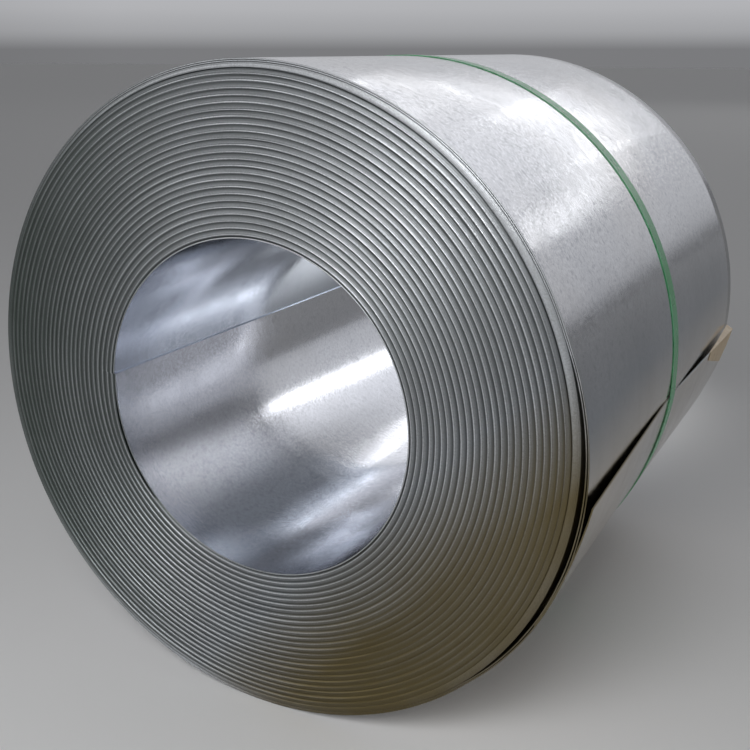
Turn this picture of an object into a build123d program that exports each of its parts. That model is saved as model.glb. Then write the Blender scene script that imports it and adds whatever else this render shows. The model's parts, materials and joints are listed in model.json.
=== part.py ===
"""Coil of galvanised steel strip, lying on its side.

The strip is wound on a round bore. Its turns show as narrow ridges on the near end, its inner end
shows as a step in the bore, and its outer end is a loose tail under one plastic strap.
Lengths are in millimetres. The coil's axis is along Y, the end that is seen first is at -Y,
and +Z is up. Angles are in degrees, from +X towards +Z.
"""
import math
import os

from build123d import *

# Wound strip
bore_diameter = 508.0
outer_diameter = 988.0
strip_width = 1000.0
sheet_thickness = 2.0
telescope = 11.5

# Ridges that groups of turns make on the near end
band_pitch = 9.4
band_relief = 2.4
band_rise_share = 0.26
rim_width = 12.5

# Inner end of the strip, a step in the bore
inner_end_angle = 175.0
inner_lap_sweep = 64.0
inner_lap_step = 3.0
lap_middle_share = 0.25
inner_gap_start_angle = 181.0
inner_gap_sweep = 46.0
inner_gap_width = 3.0
inner_gap_depth = 180.0

# Loose turns under the tail, which stand off the rest at the near end
loose_laps = 2
loose_slack = 1.2
loose_bulge = 8.0
loose_sink = 0.5
loose_gap_width = 7.3
loose_gap_depth = 160.0
loose_low_angle = -46.0
loose_high_angle = 20.0

# Tail, the outer end of the strip
tail_root_angle = -28.0
tail_end_angle = -5.4
tail_root_sink = 1.0
tail_seat = 0.2
tail_near_lift = 15.5
tail_far_lift = 11.0

# Strap round the middle
strap_width = 32.0
strap_thickness = 1.2
strap_clearance = 0.3
strap_pressed_margin = 12.0

# Tape over the far corner of the tail, wider towards the far end
tape_length = 204.0
tape_end_gap = 3.0
tape_near_low_angle = -7.2
tape_far_low_angle = -13.8
tape_foot_angle = -4.6
tape_thickness = 0.5
tape_clearance = 0.4
tape_spans = 3

cut_overrun = 20.0

bore_radius = bore_diameter / 2
outer_radius = outer_diameter / 2
overall_length = strip_width + telescope + band_relief
near_rim_y = telescope + band_relief - overall_length / 2
far_rim_y = near_rim_y + strip_width
strap_y = (near_rim_y + far_rim_y) / 2
pressed_near_y = strap_y - strap_width / 2 - strap_pressed_margin
pressed_far_y = strap_y + strap_width / 2 + strap_pressed_margin
axis_height = outer_radius + strap_clearance + strap_thickness
loose_middle_angle = (loose_low_angle + loose_high_angle) / 2
loose_lean = (loose_bulge + loose_sink) / (pressed_near_y - near_rim_y)


def polar(radius, angle):
    """Point at a radius and an angle about the coil's axis, in the plane of an end."""
    return (radius * math.cos(math.radians(angle)), radius * math.sin(math.radians(angle)))


def cross_plane(y):
    """Plane square to the coil's axis, with X to the right and Z up."""
    return Plane(origin=(0, y, 0), x_dir=(1, 0, 0), z_dir=(0, -1, 0))


def bent_arc(start_radius, start_angle, middle_radius, end_radius, end_angle):
    """Arc between two angles with its own radius at each end and half-way."""
    middle_angle = (start_angle + end_angle) / 2
    return ThreePointArc(
        polar(start_radius, start_angle), polar(middle_radius, middle_angle), polar(end_radius, end_angle)
    )


def round_arc(radius, start_angle, end_angle):
    """Arc at one radius about the coil's axis."""
    return bent_arc(radius, start_angle, radius, radius, end_angle)


def prism(edges, y, length):
    """Solid of one cross-section from y towards +Y."""
    return extrude(cross_plane(y) * make_face(edges), amount=-length)


def wound_body():
    """Turned body: the inner turns stand out at -Y and are as far back at the other end."""
    banded_width = outer_radius - rim_width - bore_radius
    bands = max(2, round(banded_width / band_pitch))
    pitch = banded_width / bands
    near_line = []
    for band in range(bands):
        inner_edge = bore_radius + band * pitch
        base_y = near_rim_y - telescope * (bands - band) / bands
        near_line.append((inner_edge, base_y))
        near_line.append((inner_edge + band_rise_share * pitch, base_y - band_relief))
    near_line.append((outer_radius - rim_width, near_rim_y))
    near_line.append((outer_radius, near_rim_y))
    far_line = [(outer_radius, far_rim_y), (bore_radius, far_rim_y - telescope)]
    return revolve(make_face(Polyline(*near_line, *far_line, close=True)), Axis.Y)


def inner_lap():
    """Room over the inner end of the strip, one lap deep at the end and none a part turn on."""
    start_angle = inner_end_angle - inner_lap_sweep
    clear_radius = bore_radius - inner_lap_step
    middle_radius = bore_radius + inner_lap_step * lap_middle_share
    deep_radius = bore_radius + inner_lap_step
    edges = [
        bent_arc(clear_radius, start_angle, middle_radius, deep_radius, inner_end_angle),
        Line(polar(deep_radius, inner_end_angle), polar(clear_radius, inner_end_angle)),
        round_arc(clear_radius, inner_end_angle, start_angle),
    ]
    return prism(edges, -overall_length / 2 - cut_overrun, overall_length + 2 * cut_overrun)


def lens(end_radius, low_radius, high_radius, start_angle, end_angle):
    """Outline between two arcs that meet at the end radius, with the given radii half-way."""
    start = polar(end_radius, start_angle)
    end = polar(end_radius, end_angle)
    middle_angle = (start_angle + end_angle) / 2
    return [
        ThreePointArc(start, polar(high_radius, middle_angle), end),
        ThreePointArc(end, polar(low_radius, middle_angle), start),
    ]


def inner_gap():
    """Gap behind the first turn, open at the near end."""
    low_radius = bore_radius + sheet_thickness
    end_angle = inner_gap_start_angle + inner_gap_sweep
    edges = lens(low_radius, low_radius, low_radius + inner_gap_width, inner_gap_start_angle, end_angle)
    start_y = -overall_length / 2 - cut_overrun
    return prism(edges, start_y, near_rim_y + inner_gap_depth - start_y)


def loose_prism(edges, end_y):
    """Solid of one cross-section from the near end to y that leans in along the coil."""
    lean_x, lean_z = polar(loose_lean, loose_middle_angle)
    run = Vector(-lean_x, 1, -lean_z)
    start_y = near_rim_y - loose_lean * (outer_radius + loose_bulge) - sheet_thickness
    section = Plane(origin=(0, start_y, 0), x_dir=(1, 0, 0), z_dir=-run) * make_face(edges)
    return extrude(section, amount=start_y - end_y)


def loose_turns():
    """Bulge of the outer turns at the near end; it leans in and dies away at the strap."""
    end_radius = outer_radius - loose_sink
    low_radius = end_radius - loose_laps * sheet_thickness
    edges = lens(end_radius, low_radius, outer_radius + loose_bulge, loose_low_angle, loose_high_angle)
    room = Circle(outer_radius + loose_bulge + cut_overrun)
    return loose_prism(edges, strap_y) & extrude(cross_plane(near_rim_y) * room, amount=near_rim_y - strap_y)


def loose_gap():
    """Gap behind the loose turns, open at the near end."""
    end_radius = outer_radius - loose_laps * sheet_thickness - loose_sink
    high_radius = outer_radius + loose_bulge - loose_laps * sheet_thickness - loose_slack
    edges = lens(end_radius, high_radius - loose_gap_width, high_radius, loose_low_angle, loose_high_angle)
    return loose_prism(edges, near_rim_y + loose_gap_depth)


def loose_height(y, angle):
    """Height of the loose turns over the rest of the coil."""
    across = (angle - loose_middle_angle) / (loose_high_angle - loose_middle_angle)
    near_height = (loose_bulge + loose_sink) * (1 - across ** 2) - loose_sink
    return max(0, near_height - loose_lean * (y - near_rim_y))


def tail_lift(y):
    """Height of the tail's underside over the coil's radius, at its free edge."""
    if y < pressed_near_y:
        share = (pressed_near_y - y) / (pressed_near_y - near_rim_y)
        return -tail_seat + (tail_near_lift + tail_seat) * share
    if y > pressed_far_y:
        share = (y - pressed_far_y) / (far_rim_y - pressed_far_y)
        return -tail_seat + (tail_far_lift + tail_seat) * share
    return -tail_seat


def tail_top(y, angle):
    """Radius of the tail's outer face, which leaves the turns below at its root."""
    root_radius = outer_radius + loose_height(y, tail_root_angle) - tail_root_sink
    end_radius = outer_radius + sheet_thickness + tail_lift(y)
    along = (angle - tail_root_angle) / (tail_end_angle - tail_root_angle)
    return root_radius + (end_radius - root_radius) * along ** 2


def tail_section(y):
    """Cross-section of the tail at y."""
    root_radius = tail_top(y, tail_root_angle)
    middle_radius = tail_top(y, (tail_root_angle + tail_end_angle) / 2)
    end_radius = tail_top(y, tail_end_angle)
    under = sheet_thickness
    edges = [
        bent_arc(root_radius, tail_root_angle, middle_radius, end_radius, tail_end_angle),
        Line(polar(end_radius, tail_end_angle), polar(end_radius - under, tail_end_angle)),
        bent_arc(end_radius - under, tail_end_angle, middle_radius - under, root_radius - under, tail_root_angle),
        Line(polar(root_radius - under, tail_root_angle), polar(root_radius, tail_root_angle)),
    ]
    return cross_plane(y) * make_face(edges)


def tail():
    """Loose end of the strip: lifted at both ends of the coil and pressed flat by the strap."""
    stations = [near_rim_y, pressed_near_y, pressed_far_y, far_rim_y]
    return loft([tail_section(y) for y in stations], ruled=True)


def strap_loop(gap):
    """Outline round the coil and over the pressed tail, at one gap from the steel."""
    round_radius = outer_radius + gap
    end_radius = outer_radius + sheet_thickness + gap
    middle_radius = round_radius + sheet_thickness * lap_middle_share
    touch_angle = tail_end_angle + math.degrees(math.acos(round_radius / end_radius))
    return make_face(
        [
            round_arc(round_radius, touch_angle, tail_root_angle + 360),
            bent_arc(round_radius, tail_root_angle, middle_radius, end_radius, tail_end_angle),
            Line(polar(end_radius, tail_end_angle), polar(round_radius, touch_angle)),
        ]
    )


def strap_band():
    """Flat plastic strap pulled tight round the middle of the coil."""
    ring = strap_loop(strap_clearance + strap_thickness) - strap_loop(strap_clearance)
    return extrude(cross_plane(strap_y - strap_width / 2) * ring, amount=-strap_width)


def tape_section(share):
    """Cross-section of the tape, from 0 at its near end to 1 at its far end.

    It lies on the tail and folds over the free edge, at the far end down to the turn below.
    """
    y = far_rim_y - tape_end_gap - tape_length * (1 - share)
    low_angle = tape_near_low_angle + (tape_far_low_angle - tape_near_low_angle) * share
    foot_angle = tail_end_angle + (tape_foot_angle - tail_end_angle) * share
    edge_radius = tail_top(y, tail_end_angle)
    foot_radius = edge_radius - sheet_thickness
    foot_radius += (outer_radius - foot_radius) * share + tape_clearance
    middle_angle = (low_angle + tail_end_angle) / 2
    loops = []
    for gap in (tape_clearance, tape_clearance + tape_thickness):
        aside = math.degrees(gap / outer_radius)
        loops.append(
            (
                polar(tail_top(y, low_angle) + gap, low_angle),
                polar(tail_top(y, middle_angle) + gap, middle_angle),
                polar(edge_radius + gap, tail_end_angle + aside),
                polar(foot_radius, foot_angle + aside),
            )
        )
    inner, outer = loops
    return cross_plane(y) * make_face(Polyline(*outer, *reversed(inner), close=True))


def tape_patch():
    """Packing tape over the far corner of the tail."""
    return loft([tape_section(station / tape_spans) for station in range(tape_spans + 1)], ruled=True)


coil = wound_body() - inner_lap()
coil -= inner_gap()
coil += loose_turns()
coil -= loose_gap()
coil += tail()

tail_reach = polar(tail_top(near_rim_y, tail_end_angle), tail_end_angle)[0]
stand = Pos((axis_height - tail_reach) / 2, 0, axis_height)
pieces = {"coil": stand * coil, "strap": stand * strap_band(), "tape": stand * tape_patch()}

os.makedirs("parts", exist_ok=True)
for name, piece in pieces.items():
    export_step(piece, f"parts/{name}.step")
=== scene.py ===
"""Looks of the steel coil: finer turns on its ends, galvanised sheet, tail, strap and tape.

Lengths are in millimetres until a mesh or a lamp is made. Angles about the coil's axis are in
degrees, from +X towards +Z, and the end that the photo shows is at -Y.
"""
import json
import math
import random

import bmesh
import bpy
import numpy as np
from mathutils import Matrix, Quaternion, Vector

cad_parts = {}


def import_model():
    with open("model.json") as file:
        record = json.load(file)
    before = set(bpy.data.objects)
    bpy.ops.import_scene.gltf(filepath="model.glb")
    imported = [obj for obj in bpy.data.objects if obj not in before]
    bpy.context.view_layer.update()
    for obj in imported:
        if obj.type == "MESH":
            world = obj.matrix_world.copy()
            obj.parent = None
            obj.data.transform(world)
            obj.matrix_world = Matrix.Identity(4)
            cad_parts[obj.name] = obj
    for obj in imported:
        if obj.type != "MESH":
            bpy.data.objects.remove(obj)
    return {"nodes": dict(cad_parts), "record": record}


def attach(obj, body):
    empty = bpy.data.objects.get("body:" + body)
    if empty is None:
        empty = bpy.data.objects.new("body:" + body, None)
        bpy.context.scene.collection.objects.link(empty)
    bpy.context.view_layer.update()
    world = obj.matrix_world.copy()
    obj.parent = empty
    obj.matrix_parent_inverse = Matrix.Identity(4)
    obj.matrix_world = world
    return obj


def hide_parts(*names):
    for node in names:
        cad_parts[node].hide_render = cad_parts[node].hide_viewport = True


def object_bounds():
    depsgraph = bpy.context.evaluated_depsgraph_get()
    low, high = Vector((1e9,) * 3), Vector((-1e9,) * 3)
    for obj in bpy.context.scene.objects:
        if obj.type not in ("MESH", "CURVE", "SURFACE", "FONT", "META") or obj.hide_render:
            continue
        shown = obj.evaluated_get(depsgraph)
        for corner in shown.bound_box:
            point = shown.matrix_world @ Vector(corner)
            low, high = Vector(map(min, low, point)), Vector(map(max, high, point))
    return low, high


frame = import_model()
cad_low, cad_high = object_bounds()

MM = 0.001
SEED = 11

# Sizes that the solids have too
BORE_R = 254.0
OUTER_R = 494.0
STRIP_WIDTH = 1000.0
SHEET = 2.0
TELESCOPE = 11.5
RELIEF = 2.4
RIM_WIDTH = 12.5
FAR_Y = cad_high.y / MM
NEAR_Y = FAR_Y - STRIP_WIDTH
STRAP_Y = (NEAR_Y + FAR_Y) / 2
AXIS_X = frame["record"]["mounts"][0]["pos_m"][0] / MM
AXIS_Z = frame["record"]["mounts"][0]["pos_m"][2] / MM
INNER_END_ANGLE = 175.0
INNER_LAP_SWEEP = 64.0
INNER_LAP_STEP = 3.0
INNER_GAP = (181.0, 227.0, 3.0)
LOOSE_LOW, LOOSE_HIGH = -46.0, 20.0
LOOSE_BULGE = 8.0
LOOSE_SINK = 0.5
LOOSE_SLACK = 1.2
LOOSE_GAP = 7.3
LAPS = 2 * SHEET
TAIL_ROOT, TAIL_END = -28.0, -5.4
TAIL_NEAR_LIFT, TAIL_FAR_LIFT = 15.5, 11.0
TAIL_SEAT = 0.2
TAIL_ROOT_SINK = 1.0
PRESSED_HALF = 16.0 + 12.0
PRESSED_NEAR = STRAP_Y - PRESSED_HALF
PRESSED_FAR = STRAP_Y + PRESSED_HALF
LOOSE_LEAN = (LOOSE_BULGE + LOOSE_SINK) / (PRESSED_NEAR - NEAR_Y)

# Ridges that groups of turns make on the ends
RIDGES = 24
FIRST_VALLEY = 257.4
LAST_VALLEY = OUTER_R - RIM_WIDTH
VALLEY_SHARE = 0.3
RIDGE_STEPS = (
    (0.0, VALLEY_SHARE), (0.07, 0.4), (0.15, 0.76), (0.21, 0.95),
    (0.27, 1.0), (0.33, 0.93), (0.4, 0.76), (0.55, 0.64), (0.78, 0.46), (0.95, 0.33),
)
FAR_STEPS = ((0.0, VALLEY_SHARE), (0.15, 0.76), (0.27, 1.0), (0.4, 0.76), (0.78, 0.46))
RING_SHIFT = 4.0
RING_SHIFT_REACH = 60.0
INNER_PUSH_REACH = 25.0
HEIGHT_SHARES = (0.84, 1.06)
SHIFT_SHARE = 0.05
SWELL_SHARE = 0.08
TOP_SHARE = 1.08

# Small edges and depths that only the meshes have; a rim step is outward, towards -Y, and its crest
LAP_EDGE = 0.3
EDGE_BREAK = 0.4
INNER_GAP_ROOM = 0.25
INNER_GAP_DEPTH = 45.0
LOOSE_GAP_DEPTH = 90.0
LOOSE_GAP_LEAST = 0.05
LAP_SPLIT = 0.3
LAP_SPLIT_DEPTH = 30.0
# The crest values set the cut edges' painted shade where low and painted highlight where high.
RIM_STEPS = ((0.0, 0.0, 0.1), (0.8, 0.5, 0.8), (2.4, 0.7, 0.86))
TAIL_EDGE_CREST = 0.6

# Columns and rows of the meshes, in degrees and counts
COLUMN_STEP = 1.6
STEP_PAIR_HALF = 0.03
OUTSIDE_ROWS = 27
BORE_ROWS = 12
TAIL_COLUMNS, TAIL_ROWS = 32, 61
SHARP_ANGLE = 50.0

# Where tones of the materials begin and end, from the coil's axis and middle
# The bore's painted paler tone fades out across this span of radius.
BORE_SKIN = (262.0, 268.0)
OUTER_SKIN = (400.0, 450.0)
# A darker film low on the tail's side, partly dirt and partly a painted dark reflection of the floor, spans
# these heights and sides.
FILM_AND_REFLECTION_HEIGHT = (200.0, 50.0)
FILM_AND_REFLECTION_BROWN_HEIGHT = (60.0, -40.0)
FILM_AND_REFLECTION_SIDE = (50.0, 300.0)
# Painted shade darkens the near end towards the left across this span of x.
LEFT_PAINTED_SHADE = (-100.0, -450.0)
# The near end turns browner towards the lower right across this span of x minus z.
LOWER_RIGHT_BROWN = (330.0, 520.0)
NEAR_HALF = (-100.0, 100.0)


def point(radius, angle, y):
    """World position in metres of arrays of radius, angle and y."""
    turn = np.radians(angle)
    x = AXIS_X + radius * np.cos(turn)
    z = AXIS_Z + radius * np.sin(turn)
    return np.stack([x, np.broadcast_to(y, x.shape), z], axis=-1) * MM


def hump(angle, low, high):
    """1 half-way between two angles, 0 at both and outside them."""
    across = (angle - (low + high) / 2) / ((high - low) / 2)
    return np.clip(1 - across**2, 0, 1)


def mesh_object(name, vertices, faces, slots, materials):
    """Closed mesh piece that rides on the coil, with one material index for each face."""
    mesh = bpy.data.meshes.new(name)
    mesh.from_pydata(vertices.reshape(-1, 3).tolist(), [], faces.tolist())
    for material in materials:
        mesh.materials.append(material)
    mesh.polygons.foreach_set("material_index", slots)
    work = bmesh.new()
    work.from_mesh(mesh)
    bmesh.ops.recalc_face_normals(work, faces=work.faces)
    work.to_mesh(mesh)
    work.free()
    mesh.shade_smooth()
    mesh.set_sharp_from_angle(angle=math.radians(SHARP_ANGLE))
    piece = bpy.data.objects.new(name, mesh)
    bpy.context.scene.collection.objects.link(piece)
    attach(piece, "root")
    return piece


def closed_grid(rows, columns):
    """Faces of a grid of vertices that closes on itself both ways."""
    r, c = np.meshgrid(np.arange(rows), np.arange(columns), indexing="ij")
    down, along = (r + 1) % rows, (c + 1) % columns
    quads = np.stack([r * columns + c, r * columns + along, down * columns + along, down * columns + c], -1)
    return quads.reshape(-1, 4)


class Shader:
    """Small helper that makes the nodes of one material."""

    def __init__(self, name):
        self.material = bpy.data.materials.new(name)
        self.material.use_nodes = True
        self.tree = self.material.node_tree
        self.tree.nodes.clear()
        output = self.node("ShaderNodeOutputMaterial")
        self.surface = self.node("ShaderNodeBsdfPrincipled")
        self.link(self.surface.outputs[0], output.inputs["Surface"])
        self.place = self.node("ShaderNodeTexCoord").outputs["Object"]

    def node(self, kind, **settings):
        made = self.tree.nodes.new(kind)
        for key, value in settings.items():
            setattr(made, key, value)
        return made

    def link(self, source, target):
        self.tree.links.new(source, target)

    def put(self, socket, value):
        if isinstance(value, bpy.types.NodeSocket):
            self.link(value, socket)
        else:
            socket.default_value = value

    def math(self, operation, a, b=0.0):
        made = self.node("ShaderNodeMath", operation=operation)
        self.put(made.inputs[0], a)
        self.put(made.inputs[1], b)
        return made.outputs[0]

    def scaled(self, scale):
        made = self.node("ShaderNodeMapping")
        self.link(self.place, made.inputs["Vector"])
        made.inputs["Scale"].default_value = scale
        return made.outputs[0]

    def noise(self, vector, scale, detail=2.0, roughness=0.5):
        made = self.node("ShaderNodeTexNoise")
        self.link(vector, made.inputs["Vector"])
        made.inputs["Scale"].default_value = scale
        made.inputs["Detail"].default_value = detail
        made.inputs["Roughness"].default_value = roughness
        return made.outputs["Fac"]

    def span(self, value, low, high, to_low, to_high):
        made = self.node("ShaderNodeMapRange")
        self.put(made.inputs["Value"], value)
        for key, number in (("From Min", low), ("From Max", high), ("To Min", to_low), ("To Max", to_high)):
            made.inputs[key].default_value = number
        return made.outputs["Result"]

    def ramp(self, value, places, to_low, to_high):
        """Span between two places in millimetres."""
        return self.span(value, places[0] * MM, places[1] * MM, to_low, to_high)

    def mix(self, share, a, b):
        made = self.node("ShaderNodeMix", data_type="RGBA")
        self.put(made.inputs["Factor"], share)
        self.put(made.inputs["A"], a)
        self.put(made.inputs["B"], b)
        return made.outputs["Result"]

    def axis_parts(self):
        """x and z from the coil's axis, and the distance from it, in metres."""
        parts = self.node("ShaderNodeSeparateXYZ")
        self.link(self.place, parts.inputs[0])
        x = self.math("SUBTRACT", parts.outputs["X"], AXIS_X * MM)
        z = self.math("SUBTRACT", parts.outputs["Z"], AXIS_Z * MM)
        square = self.math("ADD", self.math("MULTIPLY", x, x), self.math("MULTIPLY", z, z))
        return x, parts.outputs["Y"], z, self.math("SQRT", square)

    def bump(self, height, distance, strength=1.0, onto=None):
        made = self.node("ShaderNodeBump")
        self.link(height, made.inputs["Height"])
        made.inputs["Distance"].default_value = distance
        made.inputs["Strength"].default_value = strength
        if onto is not None:
            self.link(onto, made.inputs["Normal"])
        return made.outputs["Normal"]


def rgb(red, green, blue):
    return (red, green, blue, 1.0)


def sheet_material():
    """Galvanised sheet: pale zinc with a fine mottle and dark flecks; painted light makes the bore's inside
    paler, painted shade makes its upper part bluer, and a darker film on the tail's side is partly dirt and
    partly a painted dark reflection.
    """
    s = Shader("galvanised_sheet")
    grain = s.noise(s.place, 210.0, 3.0, 0.6)
    fleck = s.noise(s.place, 110.0, 3.0, 0.65)
    patch = s.noise(s.place, 16.0, 4.0, 0.6)
    streak = s.noise(s.scaled((1.5, 70.0, 1.5)), 1.0, 3.0)
    haze = s.noise(s.place, 3.2, 2.0)
    tone = s.mix(s.span(grain, 0.35, 0.65, 0.0, 1.0), rgb(0.56, 0.57, 0.6), rgb(0.78, 0.79, 0.82))
    tone = s.mix(s.span(patch, 0.35, 0.7, 0.0, 0.45), tone, rgb(0.6, 0.61, 0.64))
    tone = s.mix(s.span(haze, 0.4, 0.7, 0.0, 0.3), tone, rgb(0.7, 0.67, 0.65))
    tone = s.mix(s.span(fleck, 0.54, 0.66, 0.0, 0.55), tone, rgb(0.4, 0.41, 0.44))
    x, y, z, radius = s.axis_parts()
    turn = s.math("ARCTAN2", z, x)
    inside = s.ramp(radius, BORE_SKIN, 1.0, 0.0)
    # Painted shade: a bluer tone on the bore's upper part, fading in from about 69 to 115 degrees and ending
    # at the step at the inner end of the strip.
    step = math.radians(INNER_END_ANGLE)
    over = s.math("MULTIPLY", s.span(turn, 1.2, 2.0, 0.0, 1.0), s.span(turn, step, step + 0.002, 1.0, 0.0))
    # Painted light: the bore's inside is given a paler, bluer tone.
    tone = s.mix(s.math("MULTIPLY", inside, 0.4), tone, rgb(0.86, 0.88, 0.94))
    tone = s.mix(s.math("MULTIPLY", s.math("MULTIPLY", inside, over), 0.6), tone, rgb(0.68, 0.76, 0.87))
    # Darker, browner film low on the tail's side and on the tail: partly dirt, partly a painted dark
    # reflection of the floor.
    low = s.math("MULTIPLY", s.ramp(z, FILM_AND_REFLECTION_HEIGHT, 0.0, 1.0), s.ramp(radius, OUTER_SKIN, 0.0, 1.0))
    film_and_reflection = s.mix(s.ramp(z, FILM_AND_REFLECTION_BROWN_HEIGHT, 0.0, 1.0), rgb(0.24, 0.28, 0.33), rgb(0.52, 0.455, 0.36))
    low = s.math("MULTIPLY", low, s.ramp(x, FILM_AND_REFLECTION_SIDE, 0.0, 1.0))
    tone = s.mix(s.math("MULTIPLY", low, s.span(haze, 0.3, 0.7, 0.55, 0.9)), tone, film_and_reflection)
    s.link(tone, s.surface.inputs["Base Color"])
    s.surface.inputs["Metallic"].default_value = 1.0
    rough = s.math("ADD", s.span(grain, 0.3, 0.7, 0.09, 0.17), s.span(streak, 0.3, 0.7, -0.02, 0.03))
    s.link(s.math("ADD", rough, s.span(patch, 0.3, 0.7, -0.03, 0.05)), s.surface.inputs["Roughness"])
    normal = s.bump(grain, 0.0001)
    s.link(s.bump(s.noise(s.place, 4.0, 1.0), 0.001, 0.5, normal), s.surface.inputs["Normal"])
    return s.material


def end_material():
    """Cut edges of the turns: painted shade in the grooves and a painted highlight on the crests; at the near
    end, painted shade towards the left and a browner tone towards the lower right.
    """
    s = Shader("cut_edges")
    x, y, z, radius = s.axis_parts()
    line = s.math("SINE", s.math("MULTIPLY", radius, 2 * math.pi / (SHEET * MM)))
    grit = s.noise(s.place, 420.0, 3.0, 0.65)
    blotch = s.noise(s.place, 5.0, 3.0)
    ring_place = s.node("ShaderNodeCombineXYZ")
    s.link(s.math("MULTIPLY", radius, 260.0), ring_place.inputs[0])
    ring = s.noise(ring_place.outputs[0], 1.0, 3.0)
    crest = s.node("ShaderNodeAttribute", attribute_name="crest").outputs["Fac"]
    height = s.math("ADD", crest, s.span(ring, 0.3, 0.7, -0.1, 0.1))
    # Painted shade in the grooves and the gaps between turns, and a painted highlight on the crests and on
    # the flats of the rim's turns.
    tone = s.mix(s.span(height, 0.05, 0.5, 0.0, 1.0), rgb(0.085, 0.093, 0.097), rgb(0.275, 0.29, 0.305))
    tone = s.mix(s.span(height, 0.72, 0.95, 0.0, 1.0), tone, rgb(0.6, 0.62, 0.65))
    tone = s.mix(s.span(grit, 0.4, 0.75, 0.0, 0.4), tone, rgb(0.14, 0.143, 0.138))
    near = s.ramp(y, NEAR_HALF, 1.0, 0.0)
    # Painted shade: darker and greener towards the left of the near end, mottled by a low-frequency noise.
    side = s.math("MULTIPLY", s.ramp(x, LEFT_PAINTED_SHADE, 0.0, 1.0), s.span(blotch, 0.3, 0.65, 0.64, 0.86))
    side = s.math("MULTIPLY", side, near)
    tone = s.mix(side, tone, rgb(0.058, 0.076, 0.064))
    # Browner towards the lower right of the near end.
    low = s.ramp(s.math("SUBTRACT", x, z), LOWER_RIGHT_BROWN, 0.0, 1.0)
    brown = s.math("MULTIPLY", low, s.span(blotch, 0.3, 0.65, 0.78, 0.98))
    brown = s.math("MULTIPLY", brown, near)
    tone = s.mix(brown, tone, rgb(0.135, 0.107, 0.05))
    s.link(tone, s.surface.inputs["Base Color"])
    s.surface.inputs["Metallic"].default_value = 1.0
    s.link(s.span(grit, 0.3, 0.7, 0.34, 0.48), s.surface.inputs["Roughness"])
    normal = s.bump(line, 0.00007, 0.8)
    s.link(s.bump(grit, 0.00018, 0.6, normal), s.surface.inputs["Normal"])
    return s.material


def strap_material():
    """Green plastic strap with a gloss and a fine lengthwise grain."""
    s = Shader("green_strap")
    fine = s.noise(s.scaled((30.0, 900.0, 30.0)), 1.0, 2.0)
    broad = s.noise(s.place, 22.0, 3.0)
    tone = s.mix(s.span(fine, 0.3, 0.7, 0.0, 1.0), rgb(0.065, 0.33, 0.125), rgb(0.12, 0.48, 0.21))
    tone = s.mix(s.span(broad, 0.4, 0.75, 0.0, 0.45), tone, rgb(0.22, 0.52, 0.34))
    s.link(tone, s.surface.inputs["Base Color"])
    s.link(s.span(broad, 0.3, 0.7, 0.2, 0.34), s.surface.inputs["Roughness"])
    s.link(s.bump(fine, 0.0002, 0.7), s.surface.inputs["Normal"])
    return s.material


def tape_material():
    """Tan packing tape, a little wrinkled."""
    s = Shader("tan_tape")
    wrinkle = s.noise(s.scaled((20.0, 45.0, 20.0)), 1.0, 4.0, 0.6)
    tone = s.mix(s.span(wrinkle, 0.35, 0.65, 0.0, 1.0), rgb(0.55, 0.36, 0.14), rgb(0.75, 0.6, 0.38))
    s.link(tone, s.surface.inputs["Base Color"])
    s.link(s.span(wrinkle, 0.3, 0.7, 0.25, 0.4), s.surface.inputs["Roughness"])
    s.link(s.bump(wrinkle, 0.0015, 0.6), s.surface.inputs["Normal"])
    return s.material


def turn_angles():
    """Angles of the coil mesh's columns, with a close pair at the step in the bore."""
    even = np.arange(-180.0, 180.0, COLUMN_STEP)
    pair = [INNER_END_ANGLE - STEP_PAIR_HALF, INNER_END_ANGLE + STEP_PAIR_HALF]
    return np.sort(np.concatenate([even, pair]))


def bore_radius(angle):
    """Radius of the bore with the step at the inner end of the strip."""
    along = (angle - (INNER_END_ANGLE - INNER_LAP_SWEEP)) / INNER_LAP_SWEEP
    room = np.where(along <= 1.0, INNER_LAP_STEP * (3.0 * along - along**2 - 1.0), 0.0)
    return BORE_R + np.where(along > 0.0, np.clip(room, 0.0, None), 0.0)


def near_base(radius):
    """y of the near end before its ridges: the inner turns stand out."""
    return NEAR_Y - TELESCOPE * np.clip((LAST_VALLEY - radius) / (LAST_VALLEY - BORE_R), 0.0, 1.0)


def loose_height(angle, y):
    """Height of the loose outer turns over the rest of the coil; they lean in to the strap."""
    near_height = (LOOSE_BULGE + LOOSE_SINK) * hump(angle, LOOSE_LOW, LOOSE_HIGH) - LOOSE_SINK
    return np.clip(near_height - LOOSE_LEAN * (y - NEAR_Y), 0.0, None)


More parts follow.
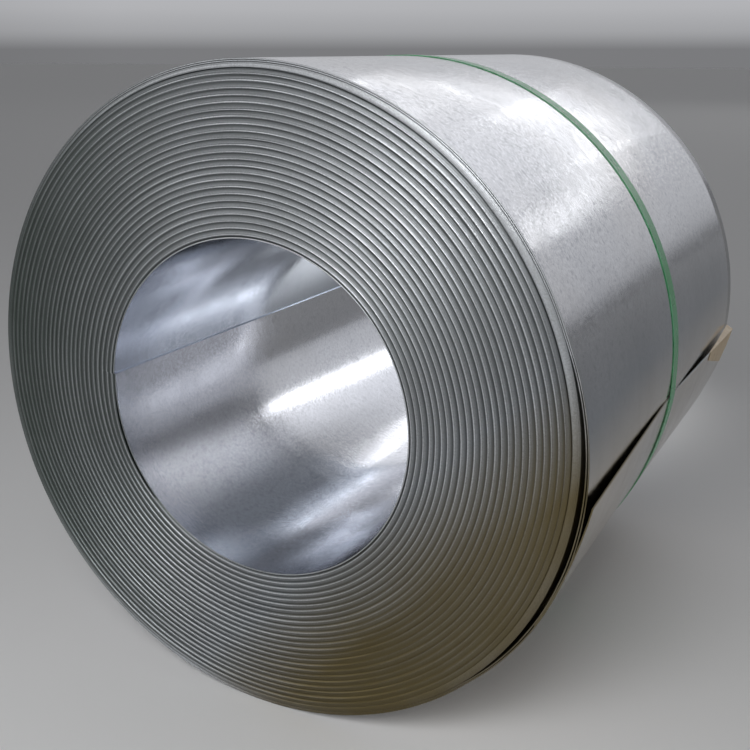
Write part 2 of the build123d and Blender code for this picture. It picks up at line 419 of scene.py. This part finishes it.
class Rows:
    """Rows of the coil mesh, one after the other round its profile."""

    def __init__(self, angle):
        self.angle = angle
        self.radius = []
        self.y = []
        self.crest = []
        self.slot = []

    def add(self, radius, y, crest=0.6, slot=1):
        """One ring of points, with how high it stands between a groove and a crest."""
        self.radius.append(radius + np.zeros_like(self.angle))
        self.y.append(y + np.zeros_like(self.angle))
        self.crest.append(crest + np.zeros_like(self.angle))
        self.slot.append(slot)

    def lap(self, inner, outer, y):
        """Cut edge of a turn between two radii, with its corners broken."""
        self.add(inner, y + LAP_EDGE, 0.35)
        self.add(inner + LAP_EDGE, y, 0.9)
        self.add(outer - LAP_EDGE, y, 0.9)
        self.add(outer, y + LAP_EDGE, 0.35)

    def gap(self, inner, outer, y, depth):
        """Gap between turns, open at the near end."""
        self.add(inner, y + depth, 0.0)
        self.add(outer, y + depth, 0.0)

    def ridges(self, steps, inner_edge, away):
        """Ridges from the bore outward; away moves them to the far end."""
        draw = random.Random(SEED)
        pitch = (LAST_VALLEY - FIRST_VALLEY) / RIDGES
        push = np.clip(inner_edge - FIRST_VALLEY, 0.0, None)
        aside = RING_SHIFT * np.cos(np.radians(self.angle))
        order = []
        for ridge in range(RIDGES):
            height = RELIEF * draw.uniform(*HEIGHT_SHARES)
            shift = draw.uniform(-SHIFT_SHARE, SHIFT_SHARE) * pitch
            waves = draw.choice((1, 2, 3))
            phase = draw.uniform(0.0, 2 * math.pi)
            swell = 1.0 + SWELL_SHARE * np.sin(np.radians(waves * self.angle) + phase)
            height = np.minimum(height * swell, RELIEF * TOP_SHARE)
            for step, share in steps:
                radius = FIRST_VALLEY + (ridge + step) * pitch + shift * math.sin(math.pi * step)
                spread = push * max(0.0, 1 - (radius - FIRST_VALLEY) / INNER_PUSH_REACH)
                spread = spread - aside * min(1.0, (radius - FIRST_VALLEY) / RING_SHIFT_REACH)
                order.append((radius + spread, near_base(radius) - height * share + away, share))
        for radius, y, share in order if away == 0 else reversed(order):
            self.add(radius, y, (share - VALLEY_SHARE) / (1 - VALLEY_SHARE))


def coil_mesh(sheet, ends):
    """The wound strip as one closed mesh: near end, outside, far end and bore."""
    angle = turn_angles()
    rows = Rows(angle)
    bore = bore_radius(angle)
    turned = np.where(angle < 0, angle + 360.0, angle)
    first = near_base(BORE_R)
    inner_gap = bore + SHEET + INNER_GAP_ROOM + INNER_GAP[2] * hump(turned, INNER_GAP[0], INNER_GAP[1])
    rows.lap(bore, bore + SHEET, first)
    rows.gap(bore + SHEET, inner_gap, first, INNER_GAP_DEPTH)
    rows.add(inner_gap, first + 0.5, 0.0)
    rows.ridges(RIDGE_STEPS, inner_gap + EDGE_BREAK, 0.0)

    loose = hump(angle, LOOSE_LOW, LOOSE_HIGH)
    outside = OUTER_R + loose_height(angle, NEAR_Y)
    gap_in = OUTER_R - LAPS - LOOSE_SINK
    gap_out = gap_in + np.maximum(LOOSE_GAP * loose, LOOSE_GAP_LEAST)
    rim = LAST_VALLEY - RING_SHIFT * np.cos(np.radians(angle))
    for outward, rise, crest in RIM_STEPS:
        rows.add(rim + outward, NEAR_Y - rise, crest)
    rows.add(gap_in - EDGE_BREAK, NEAR_Y, 0.8)
    rows.add(gap_in, NEAR_Y + EDGE_BREAK, 0.7)
    rows.gap(gap_in, gap_out, NEAR_Y, LOOSE_GAP_DEPTH)
    split = LAP_SPLIT + LOOSE_SLACK * loose
    turn = (outside - gap_out - split) / 2
    rows.lap(gap_out, gap_out + turn, NEAR_Y)
    rows.gap(gap_out + turn, gap_out + turn + split, NEAR_Y, LAP_SPLIT_DEPTH)
    rows.lap(outside - turn, outside, NEAR_Y + LAP_SPLIT)
    for share in np.linspace(0.0, 1.0, OUTSIDE_ROWS):
        y = NEAR_Y + 0.9 + (STRIP_WIDTH - 1.4) * share
        rows.add(OUTER_R + loose_height(angle, y), y, 0.6, 0)
    rows.add(OUTER_R - EDGE_BREAK, FAR_Y)
    rows.add(LAST_VALLEY + 3.0, FAR_Y - 0.6)
    rows.ridges(FAR_STEPS, bore + SHEET, STRIP_WIDTH)
    rows.add(bore + EDGE_BREAK, first + STRIP_WIDTH)
    for share in np.linspace(1.0, 0.0005, BORE_ROWS):
        rows.add(bore, first + 0.3 + (STRIP_WIDTH - 0.8) * share, 0.6, 0)
    vertices = point(np.array(rows.radius), angle[None, :], np.array(rows.y))
    faces = closed_grid(len(rows.radius), len(angle))
    slots = np.array(rows.slot, dtype=np.int32)
    slots = np.repeat(np.where(slots + np.roll(slots, -1) > 0, 1, 0), len(angle))
    piece = mesh_object("coil_turns", vertices, faces, slots.astype(np.int32), [sheet, ends])
    crest = piece.data.attributes.new("crest", "FLOAT", "POINT")
    crest.data.foreach_set("value", np.array(rows.crest, dtype=np.float32).ravel())
    return piece


def tail_lift(y):
    """Height of the tail's underside at its free edge."""
    near = np.clip((PRESSED_NEAR - y) / (PRESSED_NEAR - NEAR_Y), 0.0, 1.0)
    far = np.clip((y - PRESSED_FAR) / (FAR_Y - PRESSED_FAR), 0.0, 1.0)
    return -TAIL_SEAT + (TAIL_NEAR_LIFT + TAIL_SEAT) * near + (TAIL_FAR_LIFT + TAIL_SEAT) * far


def tail_top(angle, y):
    """Radius of the tail's outer face, which leaves the turns below at its root."""
    root = OUTER_R + loose_height(np.array(TAIL_ROOT), y) - TAIL_ROOT_SINK
    along = (angle - TAIL_ROOT) / (TAIL_END - TAIL_ROOT)
    return root + (OUTER_R + SHEET + tail_lift(y) - root) * along**2


def tail_mesh(sheet, ends):
    """Loose end of the strip as a closed sheet."""
    angles = np.linspace(TAIL_ROOT, TAIL_END, TAIL_COLUMNS)
    across = np.linspace(NEAR_Y, FAR_Y, TAIL_ROWS)
    loops = []
    for y in across:
        top = point(tail_top(angles, y), angles, y)
        under = point(tail_top(angles, y) - SHEET, angles, y)
        loops.append(np.concatenate([top, under[::-1]]))
    vertices = np.stack(loops)
    count = vertices.shape[1]
    faces = []
    for row in range(len(across) - 1):
        for column in range(count):
            along = (column + 1) % count
            here, below = row * count, (row + 1) * count
            faces.append([here + column, here + along, below + along, below + column])
    half = len(angles)
    for row in (0, len(across) - 1):
        for column in range(half - 1):
            a, b = row * count + column, row * count + count - 1 - column
            faces.append([a, a + 1, b - 1, b])
    slots = np.zeros(len(faces), dtype=np.int32)
    slots[half - 1:(len(across) - 1) * count:count] = 1
    slots[(len(across) - 1) * count:] = 1
    piece = mesh_object("coil_tail", vertices, np.array(faces), slots, [sheet, ends])
    crest = piece.data.attributes.new("crest", "FLOAT", "POINT")
    crest.data.foreach_set("value", np.full(len(piece.data.vertices), TAIL_EDGE_CREST, dtype=np.float32))
    return piece


sheet = sheet_material()
ends = end_material()
coil = coil_mesh(sheet, ends)
tail = tail_mesh(sheet, ends)
for piece in (coil, tail):
    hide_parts("coil")
for node, material in (("strap", strap_material()), ("tape", tape_material())):
    mesh = frame["nodes"][node].data
    mesh.materials.clear()
    mesh.materials.append(material)


# Level of the dome behind the coil at heights in degrees above the horizon
DOME = (
    (0.0, 0.2), (0.8, 0.36), (2.0, 0.45), (6.0, 0.54), (11.0, 0.56), (14.0, 0.57), (16.5, 0.63), (19.0, 0.83),
    (22.0, 0.93), (25.0, 1.0), (30.0, 0.9), (33.0, 0.68),
    (37.0, 0.34), (42.0, 0.52), (50.0, 0.5), (60.0, 0.25),
)


def floor():
    """Plain pale floor."""
    bpy.ops.mesh.primitive_plane_add(size=120.0, location=(0.0, 0.0, 0.0))
    plane = bpy.context.object
    plane.name = "floor"
    s = Shader("pale_floor")
    s.surface.inputs["Base Color"].default_value = rgb(0.8, 0.8, 0.8)
    s.surface.inputs["Roughness"].default_value = 0.9
    plane.data.materials.append(s.material)


def lamp(name, place, aim, width, height, power):
    """Soft box aimed at a point, in metres and watts."""
    data = bpy.data.lights.new(name, "AREA")
    data.shape = "RECTANGLE"
    data.size, data.size_y = width, height
    data.energy = power
    made = bpy.data.objects.new(name, data)
    made.location = place
    made.rotation_mode = "QUATERNION"
    made.rotation_quaternion = (Vector(aim) - Vector(place)).to_track_quat("-Z", "Y")
    bpy.context.scene.collection.objects.link(made)
    return made


def back_box(name, seen_from, azimuth, elevation, wide, high, roll, radiance):
    """Soft box behind the coil, by its direction and size in degrees as seen from a point."""
    away = 20.0
    turn, rise = math.radians(azimuth), math.radians(elevation)
    aim = Vector((math.sin(turn) * math.cos(rise), math.cos(turn) * math.cos(rise), math.sin(rise)))
    width, height = away * math.radians(wide), away * math.radians(high)
    place = Vector(seen_from) + away * aim
    made = lamp(name, place, seen_from, width, height, radiance * math.pi * width * height)
    made.rotation_quaternion = made.rotation_quaternion @ Quaternion((0.0, 0.0, 1.0), math.radians(roll))


def camera():
    """Camera at the photo's place, fitted to the coil's rims."""
    yaw, pitch = 0.4875, 0.3027
    ahead = Vector((-math.sin(yaw) * math.cos(pitch), math.cos(yaw) * math.cos(pitch), -math.sin(pitch)))
    right = Vector((math.cos(yaw), math.sin(yaw), 0.0))
    up = right.cross(ahead)
    place = Vector((AXIS_X + 1.6787 * OUTER_R, NEAR_Y - 2.4109 * OUTER_R, AXIS_Z + 1.0207 * OUTER_R)) * MM
    data = bpy.data.cameras.new("camera")
    data.sensor_width = 36.0
    data.lens = 50.05
    made = bpy.data.objects.new("camera", data)
    turn = Matrix((right, up, -ahead)).transposed().to_4x4()
    made.matrix_world = Matrix.Translation(place) @ turn
    bpy.context.scene.collection.objects.link(made)
    bpy.context.scene.camera = made


def world():
    """Soft dome: dim in front, brighter behind the coil and brightest about 25 degrees up."""
    made = bpy.data.worlds.new("studio")
    made.use_nodes = True
    tree = made.node_tree
    coordinate = tree.nodes.new("ShaderNodeTexCoord")
    parts = tree.nodes.new("ShaderNodeSeparateXYZ")
    tree.links.new(coordinate.outputs["Generated"], parts.inputs[0])
    rise = tree.nodes.new("ShaderNodeValToRGB")
    while len(rise.color_ramp.elements) < len(DOME):
        rise.color_ramp.elements.new(0.5)
    for element, (elevation, level) in zip(rise.color_ramp.elements, DOME):
        element.position = math.sin(math.radians(elevation))
        element.color = (level * 0.98, level * 0.99, level * 1.03, 1.0)
    tree.links.new(parts.outputs["Z"], rise.inputs["Fac"])
    back = tree.nodes.new("ShaderNodeMapRange")
    back.inputs["From Min"].default_value = 0.1
    back.inputs["From Max"].default_value = 0.75
    tree.links.new(parts.outputs["Y"], back.inputs["Value"])
    blend = tree.nodes.new("ShaderNodeMix")
    blend.data_type = "RGBA"
    tree.links.new(back.outputs["Result"], blend.inputs["Factor"])
    side = tree.nodes.new("ShaderNodeMapRange")
    side.inputs["From Min"].default_value = -1.0
    side.inputs["To Min"].default_value = 0.04
    side.inputs["To Max"].default_value = 0.14
    tree.links.new(parts.outputs["X"], side.inputs["Value"])
    tree.links.new(side.outputs["Result"], blend.inputs["A"])
    tree.links.new(rise.outputs["Color"], blend.inputs["B"])
    tree.links.new(blend.outputs["Result"], tree.nodes["Background"].inputs["Color"])
    bpy.context.scene.world = made


floor()
world()
camera()
key = lamp("key", (0.5, -2.3, 1.9), (0.2, -0.8, 0.0), 1.4, 0.9, 11.8)
key.data.spread = math.radians(110.0)
lamp("front", (-1.6, -4.1, 1.6), (0.0, -0.5, 0.6), 6.0, 3.0, 57.0)
behind = lamp("behind", (-0.5, 1.1, 1.8), (-0.5, 1.1, 0.0), 1.2, 0.6, 2.7)
behind.data.spread = math.radians(30.0)
top_point = (0.2, 0.0, 0.9)
bore_point = (0.0, 0.5, 0.5)
back_box("back_left", top_point, -14.5, 19.5, 17.0, 0.9, 0.0, 2.0)
back_box("back_middle", top_point, -0.3, 17.7, 14.0, 1.7, 17.0, 2.1)
back_box("back_right", top_point, 11.8, 14.4, 12.0, 1.5, 13.5, 1.7)
back_box("bore_right", bore_point, 27.0, 21.0, 16.0, 4.5, 0.0, 2.2)
back_box("bore_left", bore_point, -14.0, 30.0, 12.0, 4.0, 0.0, 1.3)
bpy.context.scene.view_settings.view_transform = "Standard"
